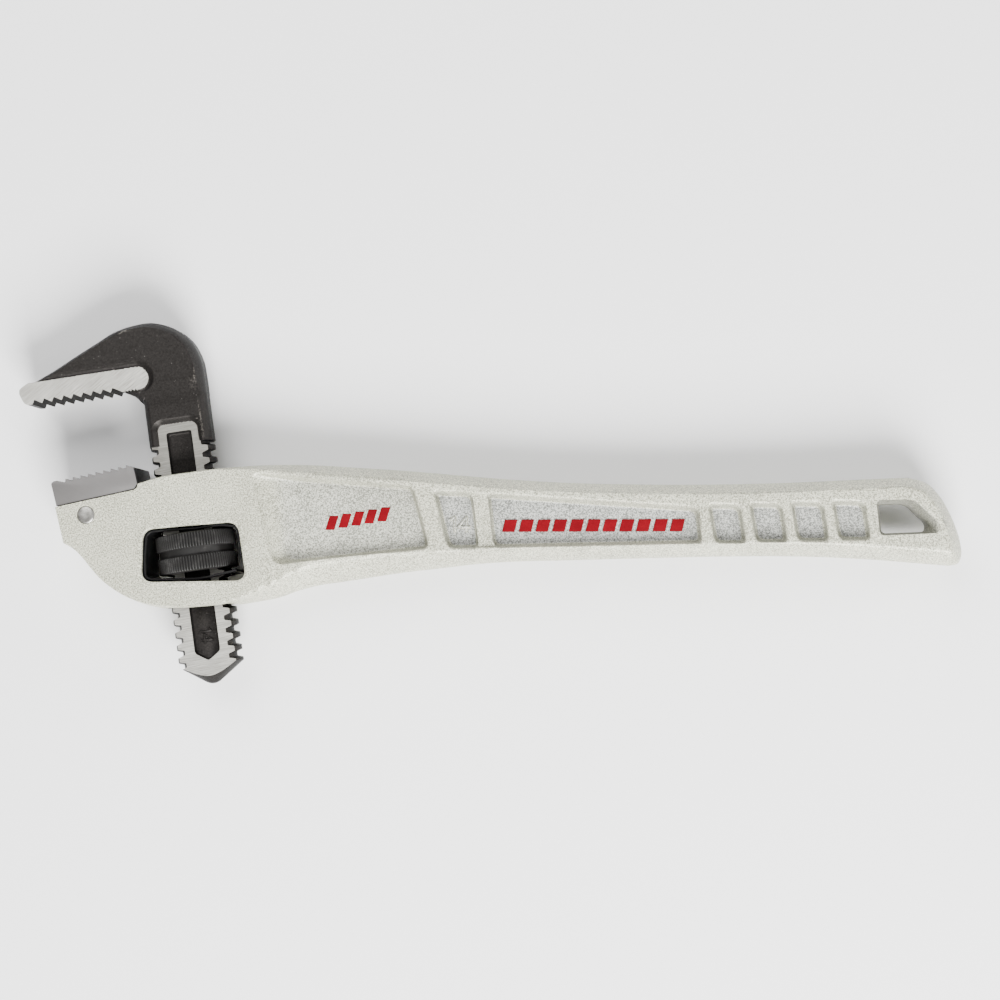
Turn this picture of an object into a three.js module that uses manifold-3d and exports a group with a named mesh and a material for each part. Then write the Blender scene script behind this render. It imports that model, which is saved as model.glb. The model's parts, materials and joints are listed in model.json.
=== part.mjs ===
// A 14-inch straight pipe wrench, lying flat: X runs along the handle to its end, Y from the
// handle's back towards the hook, Z through the thickness. Everything is laid out from the
// centre of the adjusting nut, and the finished group is moved so that its origin is the
// middle of the box's underside.
import * as THREE from "three";
import { mergeVertices } from "three/addons/utils/BufferGeometryUtils.js";
import Module from "manifold-3d";

const wasm = await Module();
wasm.setup();

// ---- driving dimensions, millimetres and degrees ----
const LEAN = 8.3;              // the hook jaw's shank leans back from Y by this angle
const HOUSING_HALF = 13;       // half thickness of the housing
const GRIP_HALF = 11;          // half thickness of the handle
const POCKET_FLOOR = 7;        // height of the pocket floors over the middle plane

const PITCH = 5.08;            // five threads to the inch, single start, right hand
const THREAD_MAJOR = 13;       // crest radius of the shank thread
const THREAD_MINOR = 10.8;     // root radius of the shank thread
const CREST_WIDTH = 1.3;       // flat on a thread crest
const FLANK_RUN = 1.04;        // axial run of one thread flank
const THREAD_PHASE = -0.64;    // height of a crest centre on the side that faces +Z
const THREAD_STEPS = 48;       // facets to one turn of thread
const THREAD_TOP = 45.5;       // the thread runs out into the plain neck here
const THREAD_BOTTOM = -58;
const SHANK_HALF = 6.3;        // half thickness between the shank's ground sides
const CLEARANCE = 0.35;        // running clearance of the thread and of fitted pieces

const NUT_RADIUS = 16;
const NUT_HALF = 7.7;          // half height over both knurled bands
const NUT_HUB_HALF = 7.95;
const NUT_HUB_RADIUS = 13.9;
const NUT_GROOVE = 2.9;        // width of the plain groove between the bands
const NUT_FLUTES = 84;
const FLUTE_DEPTH = 0.4;

const NECK_RADIUS = 12.85;     // the plain part of the shank above the thread
const NECK_HALF = 8.2;         // half thickness of the neck above the ground sides
const HEAD_HALF = 10.4;        // half thickness of the hook
const PAD_HALF = 9;            // half thickness over the ground pad behind the hook's teeth
const HOOK_TEETH = 9;
const HOOK_TOOTH_PITCH = 4.06;
const HOOK_ROOT_LINE = 69.9;
const HOOK_TIP_LINE = 68.2;

const SLOT_RADIUS = 14.5;      // the shank's way through the housing
const SLOT_HALF = 8.9;

const HEEL_SLOPE = 12.3;       // the heel jaw's seat rises at this angle
const HEEL_SEAT = [-55, 17.6]; // outer end of the seat
const HEEL_HALF = 12.5;
const HEEL_LENGTH = 34.8;
const HEEL_HEIGHT = 10.4;
const HEEL_TEETH = 9;
const HEEL_TOOTH_PITCH = 3.16;
const TONGUE_HALF = 5;         // the heel jaw's tongue, which the pin goes through
const TONGUE_DROP = 10.5;
const PIN_RADIUS = 3.5;
const PIN_CENTRE = [-42.5, 14.5];

const BAND_THICKNESS = 0.9;    // the nut's spring band
const BAND_HALF = 11;
const SPRING_HEIGHT = 21.5;    // the coil spring bears on the shank this far above the nut
const COIL_RADIUS = 3.1;       // to the middle of the wire
const WIRE_RADIUS = 0.55;
const COIL_TURNS = 5;

const lean = THREE.MathUtils.degToRad(LEAN);
const heelSlope = THREE.MathUtils.degToRad(HEEL_SLOPE);

// ---- solids ----

// A closed solid from any three.js geometry, for joining and cutting.
function solid(geometry) {
  const plain = geometry.clone();
  plain.deleteAttribute("normal");
  plain.deleteAttribute("uv");
  const merged = mergeVertices(plain, 1e-5);
  const index = merged.index.array;
  const kept = [];
  for (let i = 0; i < index.length; i += 3) {
    const [a, b, c] = [index[i], index[i + 1], index[i + 2]];
    if (a !== b && b !== c && c !== a) kept.push(a, b, c);
  }
  return new wasm.Manifold(new wasm.Mesh({
    numProp: 3,
    vertProperties: new Float32Array(merged.attributes.position.array),
    triVerts: new Uint32Array(kept),
  }));
}

function toGeometry(manifold) {
  const mesh = manifold.getMesh();
  const geometry = new THREE.BufferGeometry();
  geometry.setAttribute("position", new THREE.BufferAttribute(mesh.vertProperties, 3));
  geometry.setIndex(new THREE.BufferAttribute(mesh.triVerts, 1));
  geometry.computeVertexNormals();
  return geometry;
}

// An outline whose corners, given as [x, y, trim], are rounded off over the trim length.
function roundedShape(corners) {
  const shape = new THREE.Shape();
  corners.forEach(([x, y, trim = 0], i) => {
    const corner = new THREE.Vector2(x, y);
    const towards = (other) => new THREE.Vector2(other[0] - x, other[1] - y).setLength(trim).add(corner);
    const before = towards(corners[(i + corners.length - 1) % corners.length]);
    const after = towards(corners[(i + 1) % corners.length]);
    if (i === 0) shape.moveTo(before.x, before.y);
    else shape.lineTo(before.x, before.y);
    if (trim > 0) shape.quadraticCurveTo(x, y, after.x, after.y);
  });
  shape.closePath();
  return shape;
}

// A flat outline given thickness from one height to another, with optional worn-off edges.
function plate(shape, low, high, edge = 0, curveSegments = 4) {
  const geometry = new THREE.ExtrudeGeometry(shape, {
    depth: high - low - 2 * edge,
    curveSegments,
    bevelEnabled: edge > 0,
    bevelThickness: edge,
    bevelSize: edge * 0.75,
    bevelOffset: -edge * 0.75,
    bevelSegments: 2,
  });
  geometry.translate(0, 0, low + edge);
  return geometry;
}

function box(low, high) {
  const size = high.map((value, i) => value - low[i]);
  const geometry = new THREE.BoxGeometry(...size);
  geometry.translate(...low.map((value, i) => value + size[i] / 2));
  return geometry;
}

// The same geometry turned by the shank's lean, as the shank lies in the housing.
const leaned = (geometry) => geometry.rotateZ(lean);

// A right-hand threaded rod about Y. At every angle the thread's knots stand one pitch apart,
// and they climb one pitch in a full turn. Past either end they close into a plain ring.
function threadedRod(crest, root, crestWidth, flankRun, low, high) {
  const rootWidth = PITCH - crestWidth - 2 * flankRun;
  const knots = [
    [-crestWidth / 2, crest],
    [crestWidth / 2, crest],
    [crestWidth / 2 + flankRun, root],
    [crestWidth / 2 + flankRun + rootWidth, root],
  ];
  const firstTurn = Math.floor((low - THREAD_PHASE) / PITCH) - 2;
  const turns = Math.ceil((high - low) / PITCH) + 5;
  const perColumn = turns * knots.length;
  const positions = [];
  for (let step = 0; step < THREAD_STEPS; step++) {
    const turned = step / THREAD_STEPS;
    const angle = turned * 2 * Math.PI;
    for (let turn = 0; turn < turns; turn++) {
      for (const [rise, radius] of knots) {
        const height = THREAD_PHASE + PITCH * (firstTurn + turn + turned) + rise;
        const inside = height > low && height < high;
        const y = Math.min(Math.max(height, low), high);
        const r = inside ? radius : root;
        positions.push(r * Math.sin(angle), y, r * Math.cos(angle));
      }
    }
  }
  const bottom = positions.length / 3;
  positions.push(0, low, 0, 0, high, 0);
  const vertex = (step, place) => {
    const wrapped = step === THREAD_STEPS ? place + knots.length : place;
    return (step % THREAD_STEPS) * perColumn + Math.min(wrapped, perColumn - 1);
  };
  const index = [];
  for (let step = 0; step < THREAD_STEPS; step++) {
    for (let place = 0; place < perColumn - 1; place++) {
      const [a, b] = [vertex(step, place), vertex(step + 1, place)];
      const [c, d] = [vertex(step + 1, place + 1), vertex(step, place + 1)];
      index.push(a, b, c, a, c, d);
    }
    index.push(bottom, vertex(step + 1, 0), vertex(step, 0));
    index.push(bottom + 1, vertex(step, perColumn - 1), vertex(step + 1, perColumn - 1));
  }
  const geometry = new THREE.BufferGeometry();
  geometry.setAttribute("position", new THREE.Float32BufferAttribute(positions, 3));
  geometry.setIndex(index);
  return geometry;
}

// The shank's cylinder between two flats, as a cutter or a blank.
function flattedBar(radius, half, low, high) {
  const bar = new THREE.CylinderGeometry(radius, radius, high - low, THREAD_STEPS);
  bar.translate(0, (low + high) / 2, 0);
  return solid(bar).intersect(solid(box([-20, low - 1, -half], [20, high + 1, half])));
}

// ---- handle: one casting of grip and housing ----

function castingShape() {
  const top = new THREE.SplineCurve([
    [-21.2, 26.5], [-13, 30], [10, 33.6], [26, 35], [50, 35], [82, 33], [115, 30.1], [147, 28.1],
    [178, 27.3], [210, 27.3], [241, 28.1], [268, 29.2], [283, 29.9],
  ].map(([x, y]) => new THREE.Vector2(x, y)));
  const bottom = new THREE.SplineCurve([
    [292, -4.2], [268, -2.2], [225, -1.1], [178, -2], [147, -2.9], [115, -4.3], [82, -8.2],
    [58, -11.9], [42, -15.2], [26, -19.7], [8, -22], [-10, -22.8], [-26, -18.9], [-40, -8.6],
    [-48, 0.3],
  ].map(([x, y]) => new THREE.Vector2(x, y)));
  const points = [
    ...top.getPoints(24),
    ...[[290, 28], [295.5, 22.5], [301.3, 11.6], [303.9, 3], [303.4, -2], [299.4, -4.4]],
    ...bottom.getPoints(32).map((point) => point.toArray()),
    ...[[-52.1, 2.5], [-54.3, 10.4], [-55.5, 17], [-24, 23.8]],
  ];
  return new THREE.Shape(points.map((point) => Array.isArray(point) ? new THREE.Vector2(...point) : point));
}

// The pockets of one side: two long ones, the second with a slanted rib across, and four small.
function pocketShapes() {
  const long = [
    [[25, 29.8, 4], [89.5, 25.9, 4], [95.6, 1.9, 4], [34, -4.6, 5]],
    [[97, 24, 4], [111.3, 23.4, 1], [114.3, 2.3, 1], [103, 1.8, 4]],
    [[120, 23.2, 1], [201.8, 17.2, 4], [202.4, 3.9, 3], [122, 2.5, 1]],
  ];
  const small = [0, 1, 2, 3].map((i) => {
    const [x, y] = [205.6 + 16 * i, 4.4 + 0.45 * i];
    return [[x, y + 14.3, 2.5], [x + 12, y + 14, 2.5], [x + 14.1, y, 2.5], [x + 2.5, y, 2.5]];
  });
  return [...long, ...small].map(roundedShape);
}

const windowShape = () => roundedShape([[-19.3, 8.7, 3], [19.2, 12, 3], [23, -11.5, 3], [-19.6, -12.3, 3]]);

const hangHoleShape = () => roundedShape([[271.6, 18.9, 3], [284, 19.8, 4], [294.6, 9.2, 2.5], [273.4, 7.9, 3]]);

// The heel jaw's tongue, and with a clearance the slot that holds it.
function tongueBlock(gap) {
  const block = box(
    [4 - gap, -TONGUE_DROP - gap, -TONGUE_HALF - gap],
    [HEEL_LENGTH - 6 + gap, 2, TONGUE_HALF + gap],
  );
  return block.rotateZ(heelSlope).translate(...HEEL_SEAT, 0);
}

function pinBar(radius, low, high) {
  const bar = new THREE.CylinderGeometry(radius, radius, high - low, 32);
  return bar.rotateX(Math.PI / 2).translate(...PIN_CENTRE, (low + high) / 2);
}

function handleSolid() {
  const thickness = new THREE.Shape([
    [-60, HOUSING_HALF], [22, HOUSING_HALF], [48, GRIP_HALF], [310, GRIP_HALF],
    [310, -GRIP_HALF], [48, -GRIP_HALF], [22, -HOUSING_HALF], [-60, -HOUSING_HALF],
  ].map(([x, z]) => new THREE.Vector2(x, z)));
  const sideView = plate(thickness, -40, 40).rotateX(Math.PI / 2);
  let casting = solid(plate(castingShape(), -HOUSING_HALF, HOUSING_HALF, 3)).intersect(solid(sideView));
  for (const shape of pocketShapes()) {
    casting = casting.subtract(solid(plate(shape, POCKET_FLOOR, HOUSING_HALF + 1)));
    casting = casting.subtract(solid(plate(shape, -HOUSING_HALF - 1, -POCKET_FLOOR)));
  }
  const leafRelief = box([10, SPRING_HEIGHT - 10.5, -4.5], [16.6, SPRING_HEIGHT + 10.5, 4.5]);
  const coilBore = new THREE.CylinderGeometry(4.4, 4.4, 20, 24);
  coilBore.rotateZ(Math.PI / 2).translate(20, SPRING_HEIGHT, 0);
  return casting
    .subtract(solid(plate(windowShape(), -HOUSING_HALF - 1, HOUSING_HALF + 1)))
    .subtract(solid(plate(hangHoleShape(), -HOUSING_HALF - 1, HOUSING_HALF + 1)))
    .subtract(flattedBar(SLOT_RADIUS, SLOT_HALF, -45, 45).rotate([0, 0, LEAN]))
    .subtract(solid(leaned(leafRelief)))
    .subtract(solid(leaned(coilBore)))
    .subtract(solid(tongueBlock(CLEARANCE)))
    .subtract(solid(pinBar(PIN_RADIUS + 0.3, -HOUSING_HALF - 2, HOUSING_HALF + 2)));
}

// ---- heel jaw, laid out along its seat and turned to the seat's slope ----

function heelJawSolid() {
  const outline = [[0.3, 0.4], [HEEL_LENGTH - 2, 0.4], [HEEL_LENGTH, 2.6], [HEEL_LENGTH - 0.5, 8.9]];
  for (let tooth = 0; tooth < HEEL_TEETH; tooth++) {
    const tip = HEEL_LENGTH - 3.4 - tooth * HEEL_TOOTH_PITCH;
    outline.push([tip, HEEL_HEIGHT], [tip - 0.4, HEEL_HEIGHT - 1.4]);
  }
  outline.push([2.4, HEEL_HEIGHT], [0, HEEL_HEIGHT - 0.6]);
  const shape = new THREE.Shape(outline.map(([x, y]) => new THREE.Vector2(x, y)));
  const block = plate(shape, -HEEL_HALF, HEEL_HALF);
  block.rotateZ(heelSlope).translate(...HEEL_SEAT, 0);
  return solid(block)
    .add(solid(tongueBlock(0)))
    .subtract(solid(pinBar(PIN_RADIUS + 0.3, -HEEL_HALF, HEEL_HALF)));
}

// The heel jaw's pin, with domed ends that stand a little proud of the housing.
function heelPinGeometry() {
  const end = HOUSING_HALF + 0.6;
  const profile = [
    [0, -end], [2.4, -end + 0.3], [PIN_RADIUS, -HOUSING_HALF + 0.3],
    [PIN_RADIUS, HOUSING_HALF - 0.3], [2.4, end - 0.3], [0, end],
  ].map(([r, y]) => new THREE.Vector2(r, y));
  return new THREE.LatheGeometry(profile, 32).rotateX(Math.PI / 2).translate(...PIN_CENTRE, 0);
}

// ---- hook jaw, along its own shank: Y is the shank's axis, 0 at the nut's centre ----

function hookShape() {
  const outline = [[-62.2, 72], [-61.6, 70.3], [-58.6, 68.3], [-57.4, 68.4]];
  for (let tooth = 0; tooth < HOOK_TEETH; tooth++) {
    const root = -56 + tooth * HOOK_TOOTH_PITCH;
    outline.push([root, HOOK_ROOT_LINE]);
    if (tooth < HOOK_TEETH - 1) outline.push([root + 3, HOOK_TIP_LINE]);
  }
  const throat = new THREE.SplineCurve([
    [-21.5, 69], [-18.1, 66.9], [-14.9, 64.7], [-13, 61.5], [-12.7, 57.4],
  ].map(([x, y]) => new THREE.Vector2(x, y)));
  const back = new THREE.SplineCurve([
    [12.8, 57], [13, 70.3], [12.8, 75.5], [10.8, 82.4], [6.4, 88.3], [0.5, 92.7], [-4.5, 94.3],
    [-12.7, 94.5], [-21.1, 93.1], [-28.6, 89.9], [-42.4, 83.6], [-53.7, 78.6], [-61.8, 75.2],
  ].map(([x, y]) => new THREE.Vector2(x, y)));
  return new THREE.Shape([
    ...outline.map(([x, y]) => new THREE.Vector2(x, y)),
    ...throat.getPoints(8),
    ...back.getPoints(24),
  ]);
}

function hookJawSolid() {
  const head = plate(hookShape(), -HEAD_HALF, HEAD_HALF, 1.6);
  const neckSide = new THREE.Shape([
    [-SHANK_HALF, 43], [SHANK_HALF, 43], [SHANK_HALF, 46], [NECK_HALF - 0.9, 49.5],
    [NECK_HALF, 52.6], [NECK_HALF, 63], [-NECK_HALF, 63], [-NECK_HALF, 52.6],
    [-NECK_HALF + 0.9, 49.5], [-SHANK_HALF, 46],
  ].map(([z, y]) => new THREE.Vector2(z, y)));
  const neck = flattedBar(NECK_RADIUS, NECK_HALF, 43, 63)
    .intersect(solid(plate(neckSide, -20, 20).rotateY(Math.PI / 2)));
  const rod = threadedRod(THREAD_MAJOR, THREAD_MINOR, CREST_WIDTH, FLANK_RUN, THREAD_BOTTOM, THREAD_TOP);
  const flats = box([-20, THREAD_BOTTOM, -SHANK_HALF], [20, THREAD_TOP, SHANK_HALF]);
  const endCone = new THREE.LatheGeometry([
    [0, -53.2], [2.6, -52.4], [16, -43.3], [16, 60], [0, 60],
  ].map(([r, y]) => new THREE.Vector2(r, y)), THREAD_STEPS);
  const shank = solid(rod).intersect(solid(flats)).intersect(solid(endCone));
  const headHigh = solid(box([-70, 62, -HEAD_HALF], [20, 100, HEAD_HALF]));
  const pad = roundedShape([[-75, 77.1], [-8.2, 77.1, 4], [-8.2, 67.5, 4], [-75, 67.5]]);
  const pocket = roundedShape([[-4.9, 48.9, 1.2], [5.6, 48.9, 1.2], [5.6, -40.3, 2], [0.4, -43.7, 1.5], [-4.9, -40.3, 2]]);
  return solid(head).intersect(headHigh)
    .subtract(solid(plate(pad, PAD_HALF, 12)))
    .subtract(solid(plate(pad, -12, -PAD_HALF)))
    .add(neck)
    .add(shank)
    .subtract(solid(plate(pocket, 3.8, 12)))
    .subtract(solid(plate(pocket, -12, -3.8)));
}

// ---- adjusting nut, about the same axis ----

function flutedBand(low, high) {
  const points = [];
  for (let flute = 0; flute < NUT_FLUTES; flute++) {
    const angle = (flute / NUT_FLUTES) * 2 * Math.PI;
    const step = Math.PI / NUT_FLUTES;
    const inner = NUT_RADIUS - FLUTE_DEPTH;
    points.push(new THREE.Vector2(NUT_RADIUS * Math.cos(angle), NUT_RADIUS * Math.sin(angle)));
    points.push(new THREE.Vector2(inner * Math.cos(angle + step), inner * Math.sin(angle + step)));
  }
  return plate(new THREE.Shape(points), low, high).rotateX(Math.PI / 2);
}

function nutSolid() {
  const hub = new THREE.CylinderGeometry(NUT_HUB_RADIUS, NUT_HUB_RADIUS, 2 * NUT_HUB_HALF, THREAD_STEPS);
  const middle = new THREE.CylinderGeometry(NUT_RADIUS - 1, NUT_RADIUS - 1, NUT_GROOVE + 1, THREAD_STEPS);
  const tapCrest = CREST_WIDTH + 2 * CLEARANCE - 2 * FLANK_RUN * CLEARANCE / (THREAD_MAJOR - THREAD_MINOR);
  const tap = threadedRod(
    THREAD_MAJOR + CLEARANCE, THREAD_MINOR + CLEARANCE, tapCrest, FLANK_RUN, -20, 20,
  );
  return solid(hub)
    .add(solid(middle))
    .add(solid(flutedBand(NUT_GROOVE / 2, NUT_HALF)))
    .add(solid(flutedBand(-NUT_HALF, -NUT_GROOVE / 2)))
    .subtract(solid(tap));
}

// ---- springs ----

// A strip that follows a line of points, given its thickness to both sides of the line.
function stripShape(points, thickness) {
  const sides = [[], []];
  points.forEach((point, i) => {
    const before = points[Math.max(i - 1, 0)];
    const after = points[Math.min(i + 1, points.length - 1)];
    const along = after.clone().sub(before).normalize();
    const across = new THREE.Vector2(-along.y, along.x).multiplyScalar(thickness / 2);
    sides[0].push(point.clone().add(across));
    sides[1].unshift(point.clone().sub(across));
  });
  return new THREE.Shape([...sides[0], ...sides[1]]);
}

// The band lines the window: up the handle side, over the nut, down the other side and back
// underneath, where it bows up to its free end. The shank passes through slots in it.
function nutBandSolid() {
  const route = new THREE.Path();
  route.moveTo(20.3, -1);
  route.lineTo(18.7, 8.2);
  route.quadraticCurveTo(18.2, 11, 15.6, 10.8);
  route.lineTo(-14.6, 8.2);
  route.quadraticCurveTo(-18.1, 7.8, -18.3, 5);
  route.lineTo(-18.6, -8.4);
  route.quadraticCurveTo(-18.6, -11.2, -16, -11.3);
  route.lineTo(-3, -11.2);
  route.quadraticCurveTo(3, -11, 8.3, -9.6);
  route.lineTo(18.4, -7.4);
  const points = [];
  for (const point of route.getPoints(5)) {
    const last = points[points.length - 1];
    if (!last || last.distanceTo(point) > 1e-6) points.push(point);
  }
  const band = plate(stripShape(points, BAND_THICKNESS), -BAND_HALF, BAND_HALF);
  const way = flattedBar(SLOT_RADIUS, SHANK_HALF + 1.3, -20, 20).rotate([0, 0, LEAN]);
  return solid(band).subtract(way);
}

// The leaf lies bowed against the back of the shank, and the coil spring pushes on it.
function shankLeafGeometry() {
  const bow = new THREE.QuadraticBezierCurve(
    new THREE.Vector2(15.9, SPRING_HEIGHT - 9.5),
    new THREE.Vector2(11.8, SPRING_HEIGHT),
    new THREE.Vector2(15.9, SPRING_HEIGHT + 9.5),
  );
  return plate(stripShape(bow.getPoints(10), 0.7), -3.8, 3.8);
}

class Helix extends THREE.Curve {
  constructor(radius, length, turns) {
    super();
    Object.assign(this, { radius, length, turns });
  }

  getPoint(t, target = new THREE.Vector3()) {
    const angle = 2 * Math.PI * this.turns * t;
    return target.set(this.length * t, this.radius * Math.cos(angle), this.radius * Math.sin(angle));
  }
}

function shankCoilGeometry() {
  const wire = new THREE.Shape();
  wire.absarc(0, 0, WIRE_RADIUS, 0, 2 * Math.PI);
  const coil = new THREE.ExtrudeGeometry(wire, {
    steps: COIL_TURNS * 14,
    curveSegments: 3,
    bevelEnabled: false,
    extrudePath: new Helix(COIL_RADIUS, 13.4, COIL_TURNS),
  });
  return coil.translate(15.4, SPRING_HEIGHT, 0);
}

// ---- the assembly ----

function piece(name, geometry, color, roughness, metalness) {
  const mesh = new THREE.Mesh(geometry, new THREE.MeshStandardMaterial({ color, roughness, metalness }));
  mesh.name = name;
  return mesh;
}

const wrench = new THREE.Group();
const shankGroup = new THREE.Group();
shankGroup.rotation.z = lean;
wrench.add(
  piece("handle", toGeometry(handleSolid()), 0xc9c9c2, 0.6, 0.5),
  piece("heel_jaw", toGeometry(heelJawSolid()), 0xa3a09d, 0.45, 0.8),
  piece("heel_jaw_pin", heelPinGeometry(), 0xc8c8c6, 0.3, 0.9),
  piece("nut_band_spring", toGeometry(nutBandSolid()), 0x151515, 0.5, 0.6),
  shankGroup,
);
shankGroup.add(
  piece("hook_jaw", toGeometry(hookJawSolid()), 0x4c4640, 0.5, 0.8),
  piece("adjusting_nut", toGeometry(nutSolid()), 0x1a1a1a, 0.5, 0.7),
  piece("shank_leaf_spring", shankLeafGeometry(), 0x6a6a6a, 0.35, 0.9),
  piece("shank_coil_spring", shankCoilGeometry(), 0x707070, 0.35, 0.9),
);

const bounds = new THREE.Box3().setFromObject(wrench, true);
const centre = bounds.getCenter(new THREE.Vector3());
wrench.position.set(-centre.x, -centre.y, -bounds.min.z);

export default wrench;
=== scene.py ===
"""A 14-inch pipe wrench lying flat: bead-blasted casting, forged hook jaw, knurled black nut.

Lengths inside the shape functions are millimetres from the nut's centre. The hook jaw, nut and
everything round the shank are worked out on the shank's own axes, x across the shank, y up it
and z through the thickness, and are then turned by LEAN.
"""
import json
import math

import bmesh
import bpy
import numpy as np
from mathutils import Matrix, Vector


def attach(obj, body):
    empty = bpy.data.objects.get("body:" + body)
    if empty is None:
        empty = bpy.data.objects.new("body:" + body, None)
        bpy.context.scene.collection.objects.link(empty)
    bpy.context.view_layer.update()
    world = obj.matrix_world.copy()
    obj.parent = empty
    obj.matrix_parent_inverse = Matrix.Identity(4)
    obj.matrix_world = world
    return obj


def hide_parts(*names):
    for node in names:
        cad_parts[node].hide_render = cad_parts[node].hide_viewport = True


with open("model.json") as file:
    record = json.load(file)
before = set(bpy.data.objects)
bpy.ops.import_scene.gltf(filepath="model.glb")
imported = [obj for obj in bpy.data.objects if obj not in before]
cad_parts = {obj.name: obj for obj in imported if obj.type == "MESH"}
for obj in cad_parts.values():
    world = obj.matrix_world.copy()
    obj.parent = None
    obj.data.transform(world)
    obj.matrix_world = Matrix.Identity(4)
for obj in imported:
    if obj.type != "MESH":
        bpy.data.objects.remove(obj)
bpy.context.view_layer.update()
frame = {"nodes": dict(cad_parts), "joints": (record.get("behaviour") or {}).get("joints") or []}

# ---- places taken from the frame: the nut's centre in millimetres, the shank's lean ----
ROCK = next(joint for joint in frame["joints"] if joint["name"] == "jaw_rock")
SLIDE = next(joint for joint in frame["joints"] if joint["name"] == "hook_slide")
NUT_CENTRE = np.array(ROCK["pos_m"]) * 1000
LEAN = math.atan2(-SLIDE["axis"][0], SLIDE["axis"][1])

# ---- driving sizes, millimetres; each "half" is a half thickness ----
HOUSING_HALF = 13.0
GRIP_HALF = 11.0
POCKET_DEPTH = 4.0
POCKET_WALLS = np.array([2.1, 1.8, 1.6, 1.5])   # width of the top, right, bottom and left walls
PITCH = 5.08
THREAD_MAJOR = 13.0
THREAD_MINOR = 10.8
THREAD_PHASE = -0.64     # height of a crest on the front of the shank
THREAD_LOW = -58.0
THREAD_HIGH = 45.6
SHANK_HALF = 6.3
PAD_HALF = 9.0
HEAD_HALF = 11.2
TIP_HALF = 9.4
NECK_HALF = 8.2
NECK_RADIUS = 13.25
SLOT_RADIUS = 14.5
SLOT_HALF = 8.9
SPRING_HEIGHT = 21.5     # the coil spring's height above the nut's centre
NUT_RADIUS = 16.0
NUT_HALF = 7.7
NUT_FLUTES = 84
FLUTE_DEPTH = 0.55
HEEL_HALF = 12.5
HEEL_LENGTH = 34.8
HEEL_HEIGHT = 10.4
HEEL_SEAT = (-55.0, 17.6)
HEEL_SLOPE = math.radians(12.3)
TOOTH_COUNT = 9
PIN_CENTRE = (-42.5, 14.5)
PIN_RADIUS = 3.5
BAND_HALF_WIDTH = 11.0
BAND_HALF_THICK = 0.45
BEYOND = 20.0            # a cutter's reach from the middle plane, clear of both faces


# ======================= shapes: small tools =======================

def turned(points, angle):
    """Points turned by an angle about the Z axis."""
    out = np.array(points, float)
    c, s = math.cos(angle), math.sin(angle)
    x, y = out[..., 0].copy(), out[..., 1].copy()
    out[..., 0], out[..., 1] = c * x - s * y, s * x + c * y
    return out


def smooth_step(t):
    """0 below 0, 1 above 1, and 3t^2 - 2t^3 between."""
    t = np.clip(t, 0, 1)
    return t * t * (3 - 2 * t)


def soft_min(a, b, reach):
    """The smaller of two heights, rounded off where they are within reach of each other."""
    mix = np.clip(0.5 + 0.5 * (b - a) / reach, 0, 1)
    return b * (1 - mix) + a * mix - reach * mix * (1 - mix)


def through(points, where):
    """A smooth line through the points, read at places from 0 to 1. Between two points each
    coordinate is the cubic whose slopes are those of the chords across each point."""
    points = np.asarray(points, float)
    run = np.r_[0, np.cumsum(np.linalg.norm(np.diff(points, axis=0), axis=1))]
    slope = np.gradient(points, run, axis=0)
    at = np.asarray(where) * run[-1]
    i = np.clip(np.searchsorted(run, at, side="right") - 1, 0, len(run) - 2)
    gap = (run[i + 1] - run[i])[:, None]
    t = (at - run[i])[:, None] / gap
    return ((2 * t**3 - 3 * t**2 + 1) * points[i] + (t**3 - 2 * t**2 + t) * gap * slope[i]
            + (3 * t**2 - 2 * t**3) * points[i + 1] + (t**3 - t**2) * gap * slope[i + 1])


def distance_to(points, line):
    """Distance of every point to a line of straight pieces, the least over its pieces."""
    best = np.full(points.shape[:-1], 1e9)
    for a, b in zip(line[:-1], line[1:]):
        ab = b - a
        t = np.clip(((points - a) @ ab) / (ab @ ab), 0, 1)
        best = np.minimum(best, np.linalg.norm(points - a - t[..., None] * ab, axis=-1))
    return best


def drawn_in(corners, widths):
    """Corners of a clockwise outline after each side has moved in by its width: each new corner
    is where the two moved sides beside it cross."""
    corners = np.asarray(corners, float)
    along = np.roll(corners, -1, axis=0) - corners
    along /= np.linalg.norm(along, axis=1)[:, None]
    inward = np.c_[along[:, 1], -along[:, 0]]
    pairs = np.stack([np.roll(inward, 1, axis=0), inward], axis=1)
    moves = np.stack([np.roll(widths, 1), widths], axis=1)[..., None]
    return corners + np.linalg.solve(pairs, moves)[..., 0]


def rounded_loop(corners, steps=6):
    """A closed outline whose corners (x, y, trim) are parabola arcs over the trim length."""
    corners = np.asarray(corners, float)
    t = np.linspace(0, 1, steps + 1)[:, None]
    out = []
    for i, (x, y, trim) in enumerate(corners):
        here = np.array([x, y])
        before, after = corners[i - 1, :2] - here, corners[(i + 1) % len(corners), :2] - here
        start = here + before / np.linalg.norm(before) * trim
        end = here + after / np.linalg.norm(after) * trim
        out.append((1 - t)**2 * start + 2 * t * (1 - t) * here + t**2 * end)
    return np.concatenate(out)


def grid_quads(rows, columns, close=False):
    """Quads of a grid numbered row by row; where it closes, the last column joins the first."""
    row = np.arange(rows - 1)[:, None] * columns
    here = np.arange(columns if close else columns - 1)[None, :]
    after = (here + 1) % columns
    corners = [row + here, row + columns + here, row + columns + after, row + after]
    return np.stack(corners, axis=-1).reshape(-1, 4)


def linked(name, data):
    """An object of the scene that holds the data."""
    made = bpy.data.objects.new(name, data)
    bpy.context.scene.collection.objects.link(made)
    return made


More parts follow.
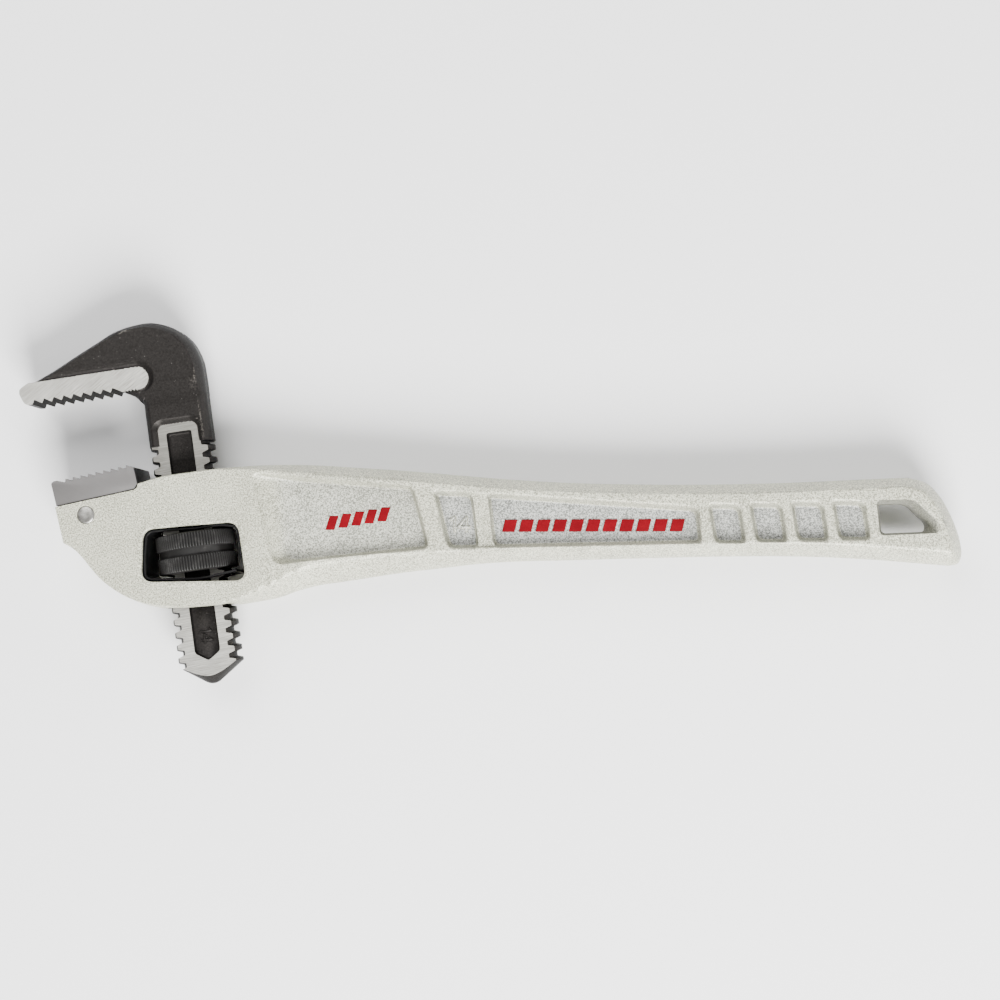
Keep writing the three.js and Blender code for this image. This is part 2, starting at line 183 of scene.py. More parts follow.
def new_object(name, vertices, blocks, angle=0.0):
    """A piece from vertices in millimetres, turned by the angle, and from blocks of faces, one
    array for each count of corners. Its doubles are merged and its faces point outwards."""
    points = (turned(vertices, angle) + NUT_CENTRE) / 1000
    mesh = bpy.data.meshes.new(name)
    mesh.from_pydata(points.tolist(), [], [face for block in blocks for face in block.tolist()])
    work = bmesh.new()
    work.from_mesh(mesh)
    bmesh.ops.remove_doubles(work, verts=work.verts, dist=2e-6)
    bmesh.ops.dissolve_degenerate(work, edges=work.edges, dist=1e-7)
    bmesh.ops.recalc_face_normals(work, faces=work.faces)
    work.to_mesh(mesh)
    work.free()
    return linked(name, mesh)


def sheets(name, grid, height, angle=0.0, wall=None):
    """A flat body from a grid of places and its half thickness there: a sheet at +height and
    one at -height. They meet where the height is 0, or a wall of loops joins them."""
    rows, columns = height.shape
    quads = grid_quads(rows, columns)
    count = rows * columns
    points = [np.dstack([grid, side * height]).reshape(-1, 3) for side in (1, -1)]
    blocks = [quads, quads[:, ::-1] + count]
    if wall is not None:
        points.append(wall.reshape(-1, 3))
        blocks.append(grid_quads(*wall.shape[:2], close=True) + 2 * count)
    return new_object(name, np.vstack(points), blocks, angle)


def stacked(name, loops, angle=0.0, capped=True):
    """A closed body from equal loops of points stacked one after another, its ends filled."""
    loops = np.asarray(loops, float)
    rows, columns = loops.shape[:2]
    blocks = [grid_quads(rows, columns, close=True)]
    if capped:
        first = np.arange(columns)[None]
        blocks += [first[:, ::-1], first + (rows - 1) * columns]
    return new_object(name, loops.reshape(-1, 3), blocks, angle)


def at_height(outline, z):
    """A flat outline's points lifted to one height, or each to its own."""
    outline = np.asarray(outline, float)
    return np.c_[outline[:, :2], np.broadcast_to(z, len(outline))]


def prism(name, outline, low, high, angle=0.0):
    """An outline carried straight through the thickness."""
    return stacked(name, [at_height(outline, low), at_height(outline, high)], angle)


def spun(name, profile, axis, centre=(0, 0, 0), steps=96, angle=0.0):
    """A profile of (radius, height) turned round an axis: each point becomes a circle."""
    turn = np.linspace(0, 2 * np.pi, steps, endpoint=False)
    profile = np.asarray(profile, float)
    r, h = profile[:, 0][:, None], profile[:, 1][:, None] + 0 * turn
    ring = {"x": (h, r * np.cos(turn), r * np.sin(turn)),
            "y": (r * np.sin(turn), h, r * np.cos(turn)),
            "z": (r * np.cos(turn), r * np.sin(turn), h)}[axis]
    return stacked(name, np.stack(ring, -1) + np.asarray(centre, float), angle, capped=False)


def settle(piece):
    """Puts the result of the piece's modifiers into its mesh."""
    shape = bpy.data.meshes.new_from_object(
        piece.evaluated_get(bpy.context.evaluated_depsgraph_get()))
    piece.modifiers.clear()
    piece.data = shape
    shape.name = piece.name


def combine(piece, other, operation):
    """Joins the piece with another closed body, cuts it by that or keeps what both share."""
    step = piece.modifiers.new("combine", "BOOLEAN")
    step.operation = operation
    step.solver = "EXACT"
    step.object = other
    settle(piece)
    bpy.data.objects.remove(other)


def soften(piece, width):
    """Rounds the piece's sharp edges over a width in millimetres."""
    bevel = piece.modifiers.new("worn edges", "BEVEL")
    bevel.width = width / 1000
    bevel.segments = 2
    bevel.angle_limit = math.radians(30)
    settle(piece)


def merged(name, pieces):
    """Several separate bodies kept as one piece."""
    mesh = bpy.data.meshes.new(name)
    work = bmesh.new()
    for piece in pieces:
        work.from_mesh(piece.data)
        bpy.data.objects.remove(piece)
    work.to_mesh(mesh)
    work.free()
    return linked(name, mesh)


def flip_to_back(piece):
    """Mirrors a piece through the wrench's middle plane, so that it stands on the back."""
    vertices = piece.data.vertices
    places = np.empty(len(vertices) * 3)
    vertices.foreach_get("co", places)
    places[2::3] = 2 * NUT_CENTRE[2] / 1000 - places[2::3]
    vertices.foreach_set("co", places)
    piece.data.flip_normals()


def finish_piece(piece, body, material, replaces=None, smooth=40):
    """Shades a piece smooth up to an angle, gives it body and material, and hides the part it
    replaces.
    """
    piece.data.materials.clear()
    piece.data.materials.append(material)
    piece.data.polygons.foreach_set("use_smooth", np.ones(len(piece.data.polygons), bool))
    piece.data.set_sharp_from_angle(angle=math.radians(smooth))
    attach(piece, body)
    if replaces:
        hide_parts(replaces)


# ======================= materials: small tools =======================

class Value:
    """One output of a shader node. Sums and products of values add their Math nodes."""

    def __init__(self, finish, socket):
        self.finish = finish
        self.socket = socket

    def maths(self, operation, *others):
        """A Math node on this value and the others, in order."""
        return self.finish.node("ShaderNodeMath", {"operation": operation},
                                dict(enumerate((self, *others))))

    def __add__(self, other):
        return self.maths("ADD", other)

    def __sub__(self, other):
        return self.maths("SUBTRACT", other)

    def __mul__(self, other):
        return self.maths("MULTIPLY", other)

    def __rsub__(self, other):
        return self * -1 + other

    def __abs__(self):
        return self.maths("ABSOLUTE")

    __radd__ = __add__
    __rmul__ = __mul__

    def least(self, other):
        """The smaller of the two."""
        return self.maths("MINIMUM", other)

    def most(self, other):
        """The larger of the two."""
        return self.maths("MAXIMUM", other)

    def rise(self, low, high):
        """0 below low, 1 above high, smooth between; low may be the larger."""
        return self.finish.node("ShaderNodeMapRange", {"interpolation_type": "SMOOTHSTEP"},
                                {0: self, 1: low, 2: high, 3: 0.0, 4: 1.0})


class Finish:
    """A material built as expressions round one Principled shader. Its constants and links are
    named as the shader's sockets, with _ for a space."""

    def __init__(self, name, **constants):
        self.material = bpy.data.materials.new(name)
        self.material.use_nodes = True
        self.tree = self.material.node_tree
        self.shader = self.tree.nodes["Principled BSDF"]
        for socket, value in constants.items():
            self.shader.inputs[socket.replace("_", " ")].default_value = value

    def node(self, kind, settings=None, values=None, output=0):
        """A node of any kind: its settings first, then values or links on its sockets."""
        made = self.tree.nodes.new(kind)
        for name, value in (settings or {}).items():
            setattr(made, name, value)
        for socket, value in (values or {}).items():
            if isinstance(value, Value):
                self.tree.links.new(value.socket, made.inputs[socket])
            else:
                made.inputs[socket].default_value = value
        return Value(self, made.outputs[output])

    def place(self, angle=0.0, stretch=(1, 1, 1)):
        """Object coordinates in millimetres from the nut's centre, turned back by an angle and
        divided by the stretch."""
        where = self.node("ShaderNodeTexCoord", output="Object")
        return self.node("ShaderNodeMapping", {"vector_type": "TEXTURE"}, {
            "Vector": where, "Location": tuple(NUT_CENTRE / 1000), "Rotation": (0, 0, angle),
            "Scale": tuple(s / 1000 for s in stretch)})

    def parts(self, vector):
        """The vector's x, y and z as three values."""
        return [self.node("ShaderNodeSeparateXYZ", None, {0: vector}, output=i) for i in range(3)]

    def facing(self):
        """The piece's own normal, as three values."""
        return self.parts(self.node("ShaderNodeTexCoord", output="Normal"))

    def noise(self, where, size, detail=3.0, rough=0.55):
        """Soft noise whose blobs are about size millimetres across, from 0 to 1."""
        return self.node("ShaderNodeTexNoise", None, {
            "Vector": where, "Scale": 1 / size, "Detail": detail, "Roughness": rough})

    def cells(self, where, size):
        """Distance to the nearest of scattered points about size millimetres apart."""
        return self.node("ShaderNodeTexVoronoi", None, {"Vector": where, "Scale": 1 / size})

    def colour(self, factor, low, high):
        """A colour between two, which may be colours or values made here."""
        return self.node("ShaderNodeMix", {"data_type": "RGBA"}, {0: factor, 6: low, 7: high},
                         output=2)

    def openness(self, reach):
        """1 where the piece's own surface leaves a point open to all sides within reach
        millimetres, less down in its hollows and corners."""
        return self.node("ShaderNodeAmbientOcclusion", {"only_local": True, "samples": 8},
                         {"Distance": reach / 1000}, output=1)

    def bump(self, height, depth, strength=1.0):
        """A bump of a height from 0 to 1 that stands for depth millimetres."""
        return self.node("ShaderNodeBump", None, {
            "Height": height, "Distance": depth / 1000, "Strength": strength})

    def feed(self, **links):
        """Links values to the shader's sockets, and gives the finished material."""
        for socket, value in links.items():
            self.tree.links.new(value.socket, self.shader.inputs[socket.replace("_", " ")])
        return self.material


# ======================= materials =======================

def cast_finish():
    """Bead-blasted light alloy: bright and dark grain of about half a millimetre, scattered pits,
    faint clouds, greyer pocket floors, painted shade in the hollows and on the hang hole's wall,
    and painted shade, near black, on the walls inside the window."""
    finish = Finish("blasted casting", Metallic=0.2, Specular_IOR_Level=0.5)
    where = finish.place()
    x, y, z = finish.parts(where)
    coarse = finish.noise(where, 0.62, 2.0, 0.6)
    fine = finish.noise(where, 0.36, 1.0, 0.5)
    pits = finish.cells(where, 0.8).rise(0.0, 0.35)
    # hollow: the piece's own occlusion, used below to paint shade into its hollows and corners
    hollow = finish.openness(8.0).rise(0.97, 0.3)
    clouds = finish.noise(where, 16.0, 3.0, 0.5)
    upright = abs(finish.facing()[2])
    floors = abs(z).rise(9.8, 7.4) * upright.rise(0.75, 0.97) * abs(x - 150).rise(140, 130)
    tone = (coarse - 0.5) * 2.8 + (fine - 0.5) * 2.6 + (clouds - 0.5) * 0.4 + 0.5
    light = finish.colour(tone.rise(-0.1, 1.1), (0.2, 0.2, 0.15, 1), (0.68, 0.675, 0.535, 1))
    grey = finish.colour(tone.rise(0.0, 1.0), (0.1, 0.105, 0.105, 1), (0.46, 0.47, 0.465, 1))
    light = finish.colour(floors * (x.rise(90, 97) * 0.35 + 0.4), light, grey)
    # the hang hole's inner wall, which is darkened below as painted shade
    hole = abs(x - 283).rise(14.5, 13.5) * abs(y - 14).rise(9, 8) * upright.rise(0.96, 0.7)
    before_end = (x * 0.67 + y * 0.74).rise(208.5, 207.5)
    # painted shade: the hollows and the hang hole's wall are mixed towards near black
    painted_shade = hollow.most(hole * before_end * 0.75)
    light = finish.colour(painted_shade * 0.85, light, (0.07, 0.07, 0.065, 1))
    speckled = finish.colour(pits * 0.3 + 0.7, (0.13, 0.13, 0.12, 1), light)
    # painted shade: the walls inside the window are made near black, as if in shadow
    window = abs(x - 1.8).rise(24.5, 23.5) * abs(y).rise(14.5, 13.5) * upright.rise(0.6, 0.4)
    window_shade = window * abs(z).rise(12.4, 11.6)
    colour = finish.colour(window_shade, speckled, (0.012, 0.012, 0.012, 1))
    relief = finish.bump(coarse * 0.4 + fine * 0.4 + pits * 0.2, 0.24, 0.8)
    return finish.feed(Base_Color=colour, Roughness=0.28 + fine * 0.35, Normal=relief)


def machined_finish(name, angle, base, dark):
    """Ground flat faces with fine slanted grinding lines; every other face stays dark."""
    finish = Finish(name)
    where = finish.place(angle)
    lines = finish.noise(finish.place(angle + 0.9, (0.09, 9.0, 1.0)), 1.0, 3.0, 0.6)
    stains = finish.noise(where, 7.0, 3.0, 0.6)
    flat = abs(finish.facing()[2]).rise(0.9, 0.985)
    tone = finish.colour((lines * 0.6 + stains * 0.4).rise(0.2, 0.8),
                         tuple(c * 0.84 for c in base) + (1,), base + (1,))
    colour = finish.colour(flat, dark + (1,), tone)
    relief = finish.bump(lines, 0.02, 0.35)
    return finish.feed(Base_Color=colour, Metallic=flat * 0.3, Normal=relief,
                       Roughness=0.55 - flat * 0.15 + lines * 0.1)


def forged_finish():
    """Dark forging under a film of oil, with scale, a few specks and a lighter crest along the
    outer bend, part rubbed wear and part painted highlight on its lit side. Where the jaw or shank
    was ground, at the pad's or the shank's own height and facing flat, it is bright steel: slanted
    lines above 61, level ones below, darkened towards the neck by painted shade."""
    finish = Finish("forged and ground jaw", Specular_IOR_Level=0.3, Metallic=0.6,
                    Specular_Tint=(0.12, 0.12, 0.12, 1))
    where = finish.place(LEAN)
    scale = finish.noise(where, 0.7, 4.0, 0.6)
    grain = finish.noise(where, 0.3, 2.0, 0.5)
    upright = abs(finish.facing()[2])
    specks = finish.cells(where, 1.6).rise(0.2, 0.06) * finish.noise(where, 5.0).rise(0.5, 0.62)
    x, y, z = finish.parts(where)
    slanted = finish.noise(finish.place(LEAN + 0.55, (9.0, 0.22, 1.0)), 1.0, 3.0, 0.6)
    level = finish.noise(finish.place(LEAN + 0.05, (9.0, 0.22, 1.0)), 1.0, 3.0, 0.6)
    upper = y.rise(60, 62)
    lines = slanted * upper + level * (1 - upper)
    clouds = finish.noise(where, 9.0, 3.0)
    depth = abs(z)
    on_pad = y.rise(66.4, 66.6) * x.rise(-7.9, -8.1) * (1 - abs(depth - PAD_HALF).rise(0.05, 0.12))
    on_shank = y.rise(54.6, 54.4) * (1 - abs(depth - SHANK_HALF).rise(0.05, 0.12))
    ground = (on_pad + on_shank) * upright.rise(0.93, 0.99)
    forged = finish.colour((scale * 0.6 + grain * 0.4).rise(0.25, 0.75),
                           (0.0135, 0.0125, 0.0116, 1), (0.031, 0.0285, 0.027, 1))
    # lighter colour on the outer bend's rounded edge, on its right and top sides only: part rubbed
    # wear, part painted highlight where the edge faces the light
    outer = (x.rise(7.5, 9.0) + y.rise(86, 88)).least(1.0)
    crest = upright.rise(0.985, 0.94) * upright.rise(0.72, 0.86) * outer
    forged = finish.colour(crest * scale.rise(0.45, 0.6) * 0.6, forged, (0.2, 0.185, 0.165, 1))
    forged = finish.colour(specks * 0.3, forged, (0.2, 0.19, 0.18, 1))
    bright = finish.colour((lines * 0.8 + clouds * 0.2).rise(0.32, 0.68),
                           (0.25, 0.242, 0.22, 1), (0.56, 0.548, 0.505, 1))
    # painted shade: the ground shank is darkened from 18 up to 46, towards the neck
    bright = finish.colour(on_shank * y.rise(18, 46) * 0.65, bright, (0.12, 0.115, 0.1, 1))
    rough = (scale * 0.65 + grain * 0.35) * (1 - ground) + lines * ground * 0.1
    return finish.feed(Base_Color=finish.colour(ground, forged, bright),
                       Roughness=ground * 0.06 + scale * 0.16 + 0.3,
                       Normal=finish.bump(rough, 0.16, 0.6))


def blackened_finish(name, angle, base, worn):
    """Black oxide, rubbed to grey in patches by the amount worn."""
    finish = Finish(name, Specular_IOR_Level=0.25)
    where = finish.place(angle)
    grain = finish.noise(where, 0.4, 3.0, 0.6)
    rubbed = finish.noise(where, 5.0, 4.0, 0.6).rise(0.45, 0.8) * worn
    colour = finish.colour((rubbed + (grain - 0.5) * 0.3).rise(0.0, 1.0), base + (1,),
                           tuple(3.2 * c for c in base) + (1,))
    return finish.feed(Base_Color=colour, Roughness=0.36 + grain * 0.14 + rubbed * 0.08,
                       Normal=finish.bump(grain, 0.03, 0.5))


def bright_pin_finish():
    """Bright steel with small stains and a fine grain."""
    finish = Finish("bright pin", Metallic=0.9)
    where = finish.place()
    stains = finish.noise(where, 2.2, 4.0, 0.65)
    grain = finish.noise(where, 0.25, 2.0)
    colour = finish.colour(stains.rise(0.3, 0.75), (0.2, 0.195, 0.18, 1), (0.44, 0.43, 0.4, 1))
    return finish.feed(Base_Color=colour, Roughness=0.3 + grain * 0.12,
                       Normal=finish.bump(stains * 0.6 + grain * 0.4, 0.06, 0.4))


def red_paint():
    """Red paint, a little uneven, with the blasted grain under it."""
    finish = Finish("red paint", Specular_IOR_Level=0.08)
    where = finish.place()
    grain = finish.noise(where, 0.34, 2.0, 0.6)
    tone = finish.colour((grain * 0.5 + finish.noise(where, 6.0) * 0.5).rise(0.3, 0.7),
                         (0.1, 0.0003, 0.003, 1), (0.18, 0.0006, 0.006, 1))
    return finish.feed(Base_Color=tone, Roughness=0.42 + grain * 0.16,
                       Normal=finish.bump(grain, 0.06, 0.5))


def spring_finish():
    """Oiled grey spring steel, faintly clouded."""
    finish = Finish("spring steel", Metallic=0.9)
    where = finish.place()
    grain = finish.noise(where, 0.5, 3.0)
    colour = finish.colour(grain.rise(0.3, 0.7), (0.2, 0.2, 0.21, 1), (0.34, 0.34, 0.35, 1))
    return finish.feed(Base_Color=colour, Roughness=0.28 + grain * 0.15)


# ======================= handle =======================

TOP_EDGE = [(-57, 20.5), (-40, 24), (-21.2, 28.2), (-13, 30.6), (0, 32.6), (10, 33.9), (26, 35.1),
            (50, 35), (66, 34), (82, 33), (98, 31.7), (115, 30.2), (131, 29), (147, 28.1),
            (178, 27.3), (210, 27.3), (241, 28.1), (268, 29.3), (283, 29.9)]
BOTTOM_EDGE = [(-52.3, 2.6), (-48.7, 0.7), (-44, -3.6), (-39.9, -8.6), (-33, -14.8), (-26, -18.9),
               (-18, -21.7), (-10, -22.8), (8, -22), (25.7, -19.7), (34, -18), (42, -15.2),
               (50, -13.1), (58, -11.9), (66, -10.7), (82, -8.2), (98.7, -6.2), (115, -4.3),
               (131, -3.3), (147, -2.9), (178, -2), (210, -1.2), (241, -1.1), (268, -2.2),
               (290, -3.9), (299, -4.6)]
GRIP_END = [(299, -4.6), (302.4, -3.6), (303.6, -0.6), (303.1, 5), (301.1, 11.6), (298.7, 17),
            (295.5, 22.5), (290.5, 27.6), (283, 29.9)]
WINDOW = [(-19.3, 8.7, 4.8), (19.2, 12, 5), (23, -11.5, 5), (-19.6, -12.3, 5)]
HOLE_WAIST = [(271.2, 19.2, 2), (281.8, 19.5, 3), (289.5, 11.6, 1.6), (289.1, 8.6, 1.4),
              (272.8, 8.0, 1.6)]
HOLE_RIM = [(270.2, 20.6, 2.4), (285.0, 21.0, 4.5), (295.8, 11.2, 1.7), (294.4, 7.8, 1.7),
            (271.6, 6.8, 2)]
# The pockets' corners, clockwise from the top left, and the trims of the plain ones.
ROUNDED = (2.0, 3.2, 2.2, 2.8)
FIRST_POCKET = [(24.6, 31.2), (88.9, 26.4), (95.9, 1.5), (33.4, -5.2)]
NUMBER_POCKET = [(97.0, 24.3), (112.9, 23.6), (115.8, 1.7), (103.0, 1.5)]
LONG_POCKET = [(118.2, 23.3), (201.5, 17.9), (203.1, 3.8), (120.8, 1.9)]
SMALL_POCKET = np.array([(205.2, 19.1), (217.9, 18.8), (220.3, 3.7), (207.9, 3.7)])
BAR_DIP = [(108, 23.75), (124, 22.95), (127, 2.1), (110, 1.6)]


def eased(count, length, offsets):
    """Places from 0 to length: the offsets at both ends and even steps between them."""
    offsets = np.asarray(offsets, float)
    middle = np.linspace(offsets[-1], length - offsets[-1], count - 2 * len(offsets) + 2)[1:-1]
    return np.concatenate([offsets, middle, length - offsets[::-1]])


def handle_grid(along=560, across=54, length=360.0):
    """Points of the casting's outline filled with a grid. Each row joins a place u on the
    bottom edge to the same place on the top edge by a straight line; towards the grip's end
    the rows take up its bulge by u^14. Rows and columns crowd towards the edges, where the
    casting rounds off."""
    u = eased(along, length, [0, 0.08, 0.25, 0.5, 0.8, 1.2, 1.7, 2.3, 3.0, 3.8]) / length
    bottom = through(BOTTOM_EDGE, u)
    top = through(TOP_EDGE, u)
    width = np.linalg.norm(top - bottom, axis=1)[:, None]
    edge = np.array([0, 0.06, 0.2, 0.45, 0.8, 1.2, 1.7, 2.3, 3.0, 3.8])
    inner = np.linspace(0, 1, across - 2 * len(edge) + 2)[1:-1]
    off = np.hstack([edge + 0 * width, edge[-1] + inner * (width - 2 * edge[-1]),
                     width - edge[::-1]])
    v = (off / width)[..., None]
    points = bottom[:, None] * (1 - v) + top[:, None] * v
    bulge = through(GRIP_END, v[-1, :, 0]) - points[-1]
    return points + (u**14)[:, None, None] * bulge


def face_height(x):
    """Half thickness at the casting's face: the housing's up to x = 24, the grip's from 64 on,
    and a smooth step between."""
    return HOUSING_HALF + (GRIP_HALF - HOUSING_HALF) * smooth_step((x - 24) / 40)


def handle_height(points):
    """Half thickness over the grid: from each edge it rises to the face as
    face * (distance / draft)^0.7, and it meets the face softly. The draft is how far in from
    an edge the rounding reaches. It is small round the housing and grows along the grip."""
    x = points[..., 0]
    face = face_height(x)
    places = np.linspace(0, 1, 260)
    top_draft = 0.9 + 3.3 * smooth_step((x - 2) / 55)
    bottom_draft = 0.9 + 7.2 * smooth_step((x - 8) / 45) - 3.3 * smooth_step((x - 60) / 70)
    sides = [
        (distance_to(points, through(TOP_EDGE, places)), top_draft),
        (distance_to(points, through(BOTTOM_EDGE, places)), bottom_draft),
        (distance_to(points, through(GRIP_END, places[::4])), 4.4 + 0 * x),
        (distance_to(points, np.array([BOTTOM_EDGE[0], TOP_EDGE[0]], float)), 0.9 + 0 * x),
    ]
    height = face
    for distance, draft in sides:
        height = soft_min(height, face * (distance / draft)**0.7, 0.5)
    height = np.maximum(height, 0.05)
    height[[0, -1]] = height[:, [0, -1]] = 0
    return height


def hang_hole():
    """The hole's cutter: the waist's outline in the middle plane grows to the rim's outline at
    both faces, slowly at first and then fast, which leaves a drafted wall with a round edge."""
    waist, rim = rounded_loop(HOLE_WAIST, 8), rounded_loop(HOLE_RIM, 8)
    rise = np.array([-12, -11, -10.6, -10, -8.5, -6, -3, 0, 3, 6, 8.5, 10, 10.6, 11, 12])
    share = np.interp(np.abs(rise), [0, 3, 6, 8.5, 10, 10.6, 11, 12],
                      [0, 0.04, 0.17, 0.42, 0.68, 0.84, 1.0, 1.0])
    loops = [at_height(waist + (rim - waist) * grown, z) for grown, z in zip(share, rise)]
    return stacked("hang hole", loops)


def pocket(corners, trims, side, drawn=(0, 0), depth=POCKET_DEPTH):
    """A pocket's cutter. On the way down from the face each wall moves in by its width times a
    share, which makes a rounded rim, a steep wall and a hollow at the floor. With drawn, the
    left wall is a ramp: its two corners also slide along the sides by drawn * fall^1.8. The
    first loop is the rim's, lifted clear of the face."""
    down = np.array([-1.0, 0, 0.01, 0.035, 0.08, 0.16, 0.34, 0.58, 0.78, 0.92, 0.98, 1.0])
    share = np.array([-0.4, -0.4, -0.27, -0.14, -0.03, 0.08, 0.22, 0.36, 0.53, 0.73, 0.88, 1.06])
    corners = np.asarray(corners, float)
    floor = GRIP_HALF - depth
    inset = drawn_in(corners, POCKET_WALLS * min(depth / POCKET_DEPTH + 0.2, 1)) - corners
    along = np.roll(corners, -1, axis=0) - corners
    along /= np.linalg.norm(along, axis=1)[:, None]
    slide = np.array([along[0] * drawn[0], (0, 0), (0, 0), -along[2] * drawn[1]])
    loops = []
    for fall, moved in zip(down, share):
        place = corners + inset * moved + slide * np.clip(fall, 0, 1)**1.8
        outline = rounded_loop(np.c_[place, np.asarray(trims) * (1 - 0.3 * moved)], 6)
        face = face_height(outline[:, 0])
        z = BEYOND if fall < 0 else floor + (face - floor) * (1 - fall)
        loops.append(at_height(outline, side * z))
    return stacked("pocket", loops)


def pockets(side):
    """The seven pockets of one face, and the shallow dip over the bar between the number's
    pocket and the long one."""
    cutters = [pocket(FIRST_POCKET, (4, 3.4, 3.2, 5), side, drawn=(15, 5)),
               pocket(NUMBER_POCKET, ROUNDED, side),
               pocket(LONG_POCKET, ROUNDED, side)]
    for i in range(4):
        cutters.append(pocket(SMALL_POCKET + (16 * i, 0.45 * i), ROUNDED, side))
    dip = pocket(BAR_DIP, (1, 1, 1, 1), side, depth=1.1)
    return [merged("pockets", cutters), dip]


def window_lip():
    """The rounded lip round the window on both faces: one small profile, proud of the face and
    turned down into the window, carried round the window's outline."""
    loop = rounded_loop(WINDOW, 8)
    along = np.roll(loop, -1, axis=0) - np.roll(loop, 1, axis=0)
    inward = np.c_[along[:, 1], -along[:, 0]] / np.linalg.norm(along, axis=1)[:, None]
    turn = np.linspace(0, np.pi / 2, 7)
    arc = np.c_[-0.85 + 0.95 * np.sin(turn), HOUSING_HALF - 0.8 + 0.95 * np.cos(turn)]
    profile = np.concatenate([[(-2.4, HOUSING_HALF - 0.9), (-2.3, HOUSING_HALF + 0.02),
                               (-1.5, HOUSING_HALF + 0.12)], arc,
                              [(0.1, HOUSING_HALF - 3), (-0.6, HOUSING_HALF - 3)]])
    lips = []
    for side in (1, -1):
        rings = [at_height(loop + inward * off, side * z) for off, z in profile]
        rings.append(rings[0])
        lips.append(stacked("window lip", rings, capped=False))
    return lips


def flatted_bar(name, radius, half, low, high, steps=96):
    """A bar along the shank whose section is a circle cut off flat at both faces."""
    turn = np.linspace(0, 2 * np.pi, steps, endpoint=False)
    x = radius * np.sin(turn)
    z = np.clip(radius * np.cos(turn), -half, half)
    loops = [np.c_[x, np.full(steps, y), z] for y in (low, high)]
    return stacked(name, loops, LEAN)


def box(x_low, x_high, y_low, y_high):
    """The outline of a rectangle, anticlockwise from its low corner."""
    return np.array([(x_low, y_low), (x_high, y_low), (x_high, y_high), (x_low, y_high)], float)


def bar(radius, low, high):
    """The profile of a round bar between two heights, ends closed."""
    return [(0, low), (radius, low), (radius, high), (0, high)]


def on_seat(name, outline, half):
    """An outline drawn along the heel jaw's seat, to both sides of the middle plane."""
    placed = turned(outline, HEEL_SLOPE) + HEEL_SEAT
    return prism(name, placed, -half, half)


def make_handle():
    """The casting: its sheets, less the window, hang hole, shank way, seat, tongue slot, bores
    and pockets, with the window's lips added."""
    grid = handle_grid()
    handle = sheets("cast_handle", grid, handle_height(grid))
    seat = [(-8, 0), (HEEL_LENGTH - 1.9, 0), (HEEL_LENGTH - 0.6, 0.7), (HEEL_LENGTH + 0.1, 2.4),
            (HEEL_LENGTH + 0.4, 16), (-8, 16)]
    cutters = [
        prism("window", rounded_loop(WINDOW, 8), -BEYOND, BEYOND),
        hang_hole(),
        flatted_bar("shank way", SLOT_RADIUS, SLOT_HALF, -45, 45),
        on_seat("seat", seat, BEYOND),
        on_seat("tongue slot", box(3.6, 29.2, -11, 4), 5.4),
        spun("pin bore", bar(PIN_RADIUS + 0.12, -BEYOND, BEYOND), "z", (*PIN_CENTRE, 0), 64),
    ]
    for side in (1, -1):
        cutters += pockets(side)
    relief = box(10, 17.5, SPRING_HEIGHT - 11.3, SPRING_HEIGHT + 11.3)
    cutters.append(prism("leaf relief", relief, -4.5, 4.5, LEAN))
    cutters.append(spun("coil bore", bar(5.3, 10, 31), "x", (0, SPRING_HEIGHT, 0), 48, LEAN))
    for cutter in cutters:
        combine(handle, cutter, "DIFFERENCE")
    for lip in window_lip():
        combine(handle, lip, "UNION")
    finish_piece(handle, "wrench_body", CAST, "handle")


def raised_bar(foot, size, slant, low, high):
    """A parallelogram bar with worn upper edges: its outline is drawn in towards its centre
    over the last tenth of a millimetre."""
    width, tall = size
    corners = np.array([(slant, tall), (width + slant, tall), (width, 0), (0, 0)]) + foot
    loop = rounded_loop(np.c_[corners, np.full(4, 0.25)], 3)
    centre = loop.mean(0)
    steps = ((1.0, low), (1.0, high - 0.12), (0.96, high - 0.03), (0.88, high))
    return stacked("bar", [at_height(centre + (loop - centre) * share, z) for share, z in steps])


def stroke(line, width, low, high, angle):
    """A raised line: a section with sloping sides and a rounded top carried along the line. At
    both ends it runs on by half its width and sinks to a twentieth of its height."""
    section = [(-0.62, 0), (-0.5, 0.6), (-0.34, 0.92), (0, 1), (0.34, 0.92), (0.5, 0.6), (0.62, 0)]
    off, up = np.array(section, float).T
    along = np.gradient(line, axis=0)
    along /= np.linalg.norm(along, axis=1)[:, None]
    across = np.c_[-along[:, 1], along[:, 0]]
    at = np.r_[0, np.arange(len(line)), len(line) - 1]
    beyond = np.zeros((len(at), 1))
    beyond[[0, -1], 0] = -0.5, 0.5
    share = np.ones((len(at), 1))
    share[[0, -1]] = 0.05
    middle = line[at] + along[at] * beyond * width
    flat = middle[:, None] + across[at][:, None] * (off * width)[:, None]
    return stacked("stroke", np.dstack([flat, low + (high - low) * up * share]), angle)


def numerals(name, foot, tall, width, low, high, turn=0.0, angle=0.0):
    """The numerals 1 and 4 in raised strokes, standing on foot and turned about it."""
    one = [[(0.06, 0.78), (0.34, 1.0)], [(0.34, 1.0), (0.34, 0.5), (0.34, 0.0)]]
    four = [[(1.12, 0.0), (1.14, 0.5), (1.16, 1.0)], [(1.16, 1.0), (0.86, 0.63), (0.6, 0.3)],
            [(0.6, 0.3), (0.95, 0.3), (1.36, 0.3)]]
    strokes = []
    for line in one + four:
        placed = turned(np.array(line) * tall, turn) + foot
        strokes.append(stroke(placed, width, low, high, angle))
    return merged(name, strokes)


